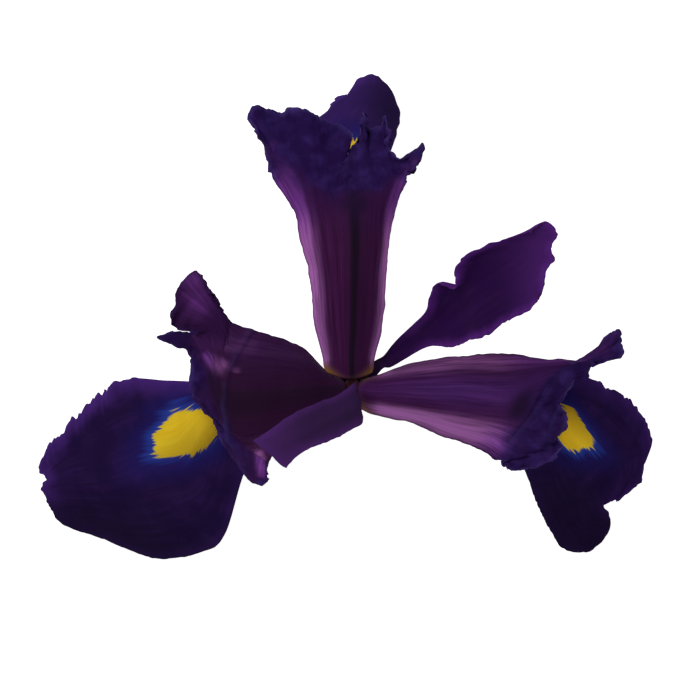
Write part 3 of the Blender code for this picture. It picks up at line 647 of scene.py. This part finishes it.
# Of each style arm: bands (weight, lane, width) that are light (painted backlight through the thin margin),
# dark (painted shade) or violet; share of its length where the crest begins, at the left margin, left of the
# middle, the middle and the right margin; how blue that crest is (frill) and how yellow the arm's base
# (foot);
# lines of folds, which get a painted highlight, and lines of painted light shining through (weight, width,
# line), both seen from above.
ARMS = {
    "style_arm_rear": {
        "rows": ARM_REAR, "edge": CREST_EDGE,
        "light": ((1.0, -0.98, 0.27), (0.95, 0.98, 0.22)), "dark": ((0.95, 0.08, 0.15), (0.45, 0.2, 0.45)),
        "violet": ((0.3, -1, 0.3), (0.2, 1, 0.3)), "crest": (0.95, 0.84, 0.78, 0.96),
        "frill": 1, "foot": 1,
        "folds": (((-15.6, 48.8), (-14.6, 46.0), (-14.9, 42.6)), ((2.1, 47.2), (0.6, 43.6))),
        "shine": ((0.45, 0.7, ((2.0, 46.6), (1.0, 44.2))),)},
    "style_arm_left": {
        "rows": ARM_LEFT, "edge": FAN_EDGE,
        "light": ((0.15, -0.8, 0.3), (0.25, 0.85, 0.3)), "dark": ((0.55, 0, 3.0), (0.7, 0.1, 0.5)),
        "violet": ((0.5, -0.8, 0.4), (0.2, 1, 0.3)), "crest": (1.1, 1.0, 0.74, 0.78),
        "frill": 0.6, "foot": 0.2,
        "folds": (((-18.2, 9.4), (-20.6, 5.2), (-22.4, 1.4), (-22.9, -4), (-21.9, -10), (-19.0, -14.4)),),
        "shine": ((0.5, 3.0, ((-27.2, 14.2), (-28.6, 17.8))), (0.3, 0.6, ((-28.2, 8.9), (-26.4, 5.6))),
                  (0.6, 1.6, ((-25.8, 4.8), (-23.4, 3.2))), (0.35, 0.7, ((-21.0, 2.5), (-20.4, 2.4))),
                  (0.9, 1.1, ((-16.6, -12.6), (-15.9, -15.8))), (0.25, 2.2, ((-27.0, 7.0), (-18.0, 6.6))))},
    "style_arm_right": {
        "rows": ARM_RIGHT, "edge": CREST_EDGE,
        "light": ((0.6, -0.85, 0.28), (1.05, 0.72, 0.27)), "dark": ((0.22, -0.52, 0.08), (0.25, 0.28, 0.2)),
        "violet": ((0.85, -0.15, 0.45), (0.2, 1, 0.3)), "crest": (0.99, 0.9, 0.76, 0.84),
        "frill": 1, "foot": 0.4,
        "folds": (((39.4, 4.2), (34.6, -0.4), (31.8, -5.6), (28.2, -10)),
                  ((37.4, -2.6), (35.4, -6.4), (34.8, -11)), ((42.8, 5.0), (47.2, 7.9))),
        "shine": ()},
}


def signal_measures(points, centre, to_end, to_side, taper):
    """Distance from the heart of the signal, 1 on its edge, and painted shade over one side of it, from 0 at
    the far end to 1.
    """
    forward, aside = np.moveaxis((points[..., :2] - centre) @ np.linalg.inv([to_end, to_side]), -1, 0)
    aside = aside / (1 + taper * np.clip(forward, -1, 1))
    distance = (np.abs(forward) ** 2.8 + np.abs(aside) ** 2.8) ** (1 / 2.8)
    return distance, np.clip(0.28 - 0.5 * forward + 0.35 * aside, 0, 1)


def add_falls():
    material = fall_material()
    for turn, (name, (rows, pale, trim)) in enumerate(FALLS.items()):
        points = petal_surface(rows, FALL_CELLS)
        signal, signal_shade = signal_measures(points, *SIGNALS[name])
        points = ridge(points, 0.5, 1.6)
        points = crumple(points, 0.35, 8, SEED + 10 * turn)
        points = ruffle(points, FALL_EDGE, SEED + 10 * turn + 5)
        add_petal(name, points, material, {
            "signal": signal, "signal_shade": signal_shade,
            "pale": np.full(signal.shape, pale), "trim": np.full(signal.shape, trim)})


def add_standards():
    material = standard_material()
    for turn, (name, (rows, edge, wash)) in enumerate(STANDARDS.items()):
        points = petal_surface(rows, STANDARD_CELLS)
        points = ridge(points, 0.35, 1.0)
        points = crumple(points, 0.3, 7, SEED + 40 + 10 * turn)
        points = ruffle(points, edge, SEED + 45 + 10 * turn)
        add_petal(name, points, material, {"wash": np.full(points.shape[:2], wash)})


def add_arms():
    material = arm_material()
    for turn, (name, arm) in enumerate(ARMS.items()):
        points = petal_surface(arm["rows"], ARM_CELLS)
        reach = np.linspace(0, 1, points.shape[0])[:, None]
        lane = np.linspace(-1, 1, points.shape[1])[None, :]
        pinch = 0.12 * np.exp(-(reach / 0.03) ** 2)
        points[..., :2] *= 1 - pinch[..., None]
        widen = 0.16 * lane * np.exp(-(reach / 0.08) ** 2)
        points = points + petal_frame(points)[1] * widen[..., None]
        crest = np.clip((reach - np.interp(lane, (-1, -0.4, 0, 1), arm["crest"])) / 0.2 + 0.5, 0, 1)
        foot = arm["foot"] * (0.2 + 0.8 * lane ** 2) * np.exp(-(reach / (0.012 + 0.06 * lane ** 2)) ** 2)
        shine = np.zeros_like(crest)
        for weight, width, path in arm["shine"]:
            shine = np.maximum(shine, weight * near_path(points, path, width))
        fold = np.maximum.reduce([near_path(points, path, 0.5) for path in arm["folds"]])
        # painted backlight along the thin margins and along the shine lines
        glow = stronger_band(lane, arm["light"]) * np.interp(reach, (0, 0.1, 0.64, 0.9), (0, 1, 1, 0.7))
        # painted shade: the dark ridge bands and the throat just before the crest
        throat_shade = np.exp(-((reach - arm["crest"][2] - 0.02) / 0.07) ** 2 - ((lane - 0.12) / 0.34) ** 2)
        dark = np.maximum(stronger_band(lane, arm["dark"]), 0.9 * throat_shade)
        violet = stronger_band(lane, arm["violet"]) * np.interp(reach, (0, 0.4), (0.4, 1))
        points = crumple(points, 0.2, 6, SEED + 70 + 10 * turn)
        points = points + petal_frame(points)[0] * (0.45 * fold)[..., None]
        points = ruffle(points, ARM_SIDE, SEED + 73 + 10 * turn)
        points = ruffle(points, arm["edge"], SEED + 76 + 10 * turn)
        points = ruffle(points, FRILL, SEED + 79 + 10 * turn)
        add_petal(name, points, material, {
            "glow": np.maximum(glow, shine), "dark": dark * (1 - shine), "violet": violet,
            "crest": arm["frill"] * crest * (1 - shine) * (1 - 0.75 * throat_shade),
            "fold": fold, "foot": foot})


def add_column():
    """The style column, opening at its top into three lobes where the style arms join it."""
    low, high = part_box("style_column")
    bottom, top = low[2] / MM, high[2] / MM
    radius = (high[0] - low[0]) / 2 / MM
    turns = np.linspace(0, 2 * math.pi, COLUMN_SIDES, endpoint=False)
    lobes = 0.5 + 0.5 * np.cos(3 * (turns - math.pi / 2))
    rings = []
    for level in np.linspace(0, 1, COLUMN_RINGS):
        flare = max(0, (level - 0.7) / 0.3) ** 2
        size = radius * (1 - 0.06 * np.cos(6 * turns) + flare * (0.25 + 0.5 * lobes))
        height = np.full(COLUMN_SIDES, bottom + (top - bottom) * level)
        rings.append(np.stack([size * np.cos(turns), size * np.sin(turns), height], axis=1))
    for inner, sink in ((0.6, 0.25), (0.2, 0.6), (0.001, 0.7)):
        rim = rings[COLUMN_RINGS - 1]
        rings.append(np.stack([rim[:, 0] * inner, rim[:, 1] * inner, rim[:, 2] - sink], axis=1))
    rings.insert(0, rings[0] * (0.001, 0.001, 1))
    points = np.array(rings)
    faces = []
    for ring in range(len(points) - 1):
        for side in range(COLUMN_SIDES):
            beside = (side + 1) % COLUMN_SIDES
            here, above = ring * COLUMN_SIDES, (ring + 1) * COLUMN_SIDES
            faces.append((here + side, here + beside, above + beside, above + side))
    mesh = bpy.data.meshes.new("style_column")
    mesh.from_pydata((points.reshape(-1, 3) * MM).tolist(), [], faces)
    wine = plain_plant_material("style_column_skin", srgb(40, 18, 32), srgb(78, 40, 40), 700, 0.05, 0.05)
    settle(place_piece("style_column", mesh, wine), "style_column")


def dress(node, material):
    """A CAD piece that stays gets its plant material."""
    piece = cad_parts[node]
    piece.data.materials.clear()
    piece.data.materials.append(material)


def add_heart():
    """The stamens, the style column and the stalk below them."""
    lilac = plain_plant_material("filament_skin", srgb(150, 128, 176), srgb(214, 202, 226), 900)
    pollen = plain_plant_material("anther_skin", srgb(150, 108, 40), srgb(226, 196, 112), 1500)
    for side in ("rear", "left", "right"):
        dress("filament_" + side, lilac)
        dress("anther_" + side, pollen)
    add_column()
    brown = plain_plant_material("perianth_tube_skin", srgb(46, 30, 34), srgb(84, 62, 40), 600, 0.02, 0.05)
    dress("perianth_tube", brown)
    dress("ovary", plain_plant_material("ovary_skin", srgb(56, 78, 40), srgb(112, 134, 72), 600, 0.02))
    dress("pedicel", plain_plant_material("pedicel_skin", srgb(70, 104, 48), srgb(150, 176, 104), 600))


# ---------------------------------------------------------------- stage

def add_stage():
    """A plain white floor that glows like a light table, and one large soft lamp."""
    bpy.ops.mesh.primitive_plane_add(size=30)
    floor = bpy.context.object
    floor.name = "floor"
    paint = Paint("floor_white")
    paint.shader.inputs["Base Color"].default_value = (0.9, 0.9, 0.9, 1)
    paint.shader.inputs["Roughness"].default_value = 0.9
    paint.shader.inputs["Emission Color"].default_value = (1, 1, 1, 1)
    paint.shader.inputs["Emission Strength"].default_value = 0.85
    floor.data.materials.append(paint.material)
    lamp_data = bpy.data.lights.new("soft_box", "AREA")
    lamp_data.shape = "DISK"
    lamp_data.size = 0.6
    lamp_data.energy = 3.2
    lamp = bpy.data.objects.new("soft_box", lamp_data)
    lamp.location = (-0.35, 0.30, 0.75)
    lamp.rotation_euler = (math.radians(-22), math.radians(-25), 0)
    bpy.context.scene.collection.objects.link(lamp)
    world = bpy.data.worlds.new("studio")
    bpy.context.scene.world = world
    world.use_nodes = True
    world.node_tree.nodes["Background"].inputs["Color"].default_value = (1, 1, 1, 1)
    world.node_tree.nodes["Background"].inputs["Strength"].default_value = 0.35


def add_camera():
    """Straight above the blossom, far off with a long lens."""
    height, level = 1.0, 0.020      # m, from the camera down to a level in the blossom, and that level's own
    seen = 0.126                    # m, the width seen at that level
    data = bpy.data.cameras.new("camera")
    data.sensor_width = 36
    data.lens = data.sensor_width * height / seen
    data.clip_end = 50
    camera = bpy.data.objects.new("camera", data)
    camera.location = (AXIS[0] + AIM[0], AXIS[1] + AIM[1], height + level)
    bpy.context.scene.collection.objects.link(camera)
    bpy.context.scene.camera = camera
    bpy.context.scene.view_settings.view_transform = "Standard"


add_camera()
add_falls()
add_standards()
add_arms()
add_heart()
add_stage()
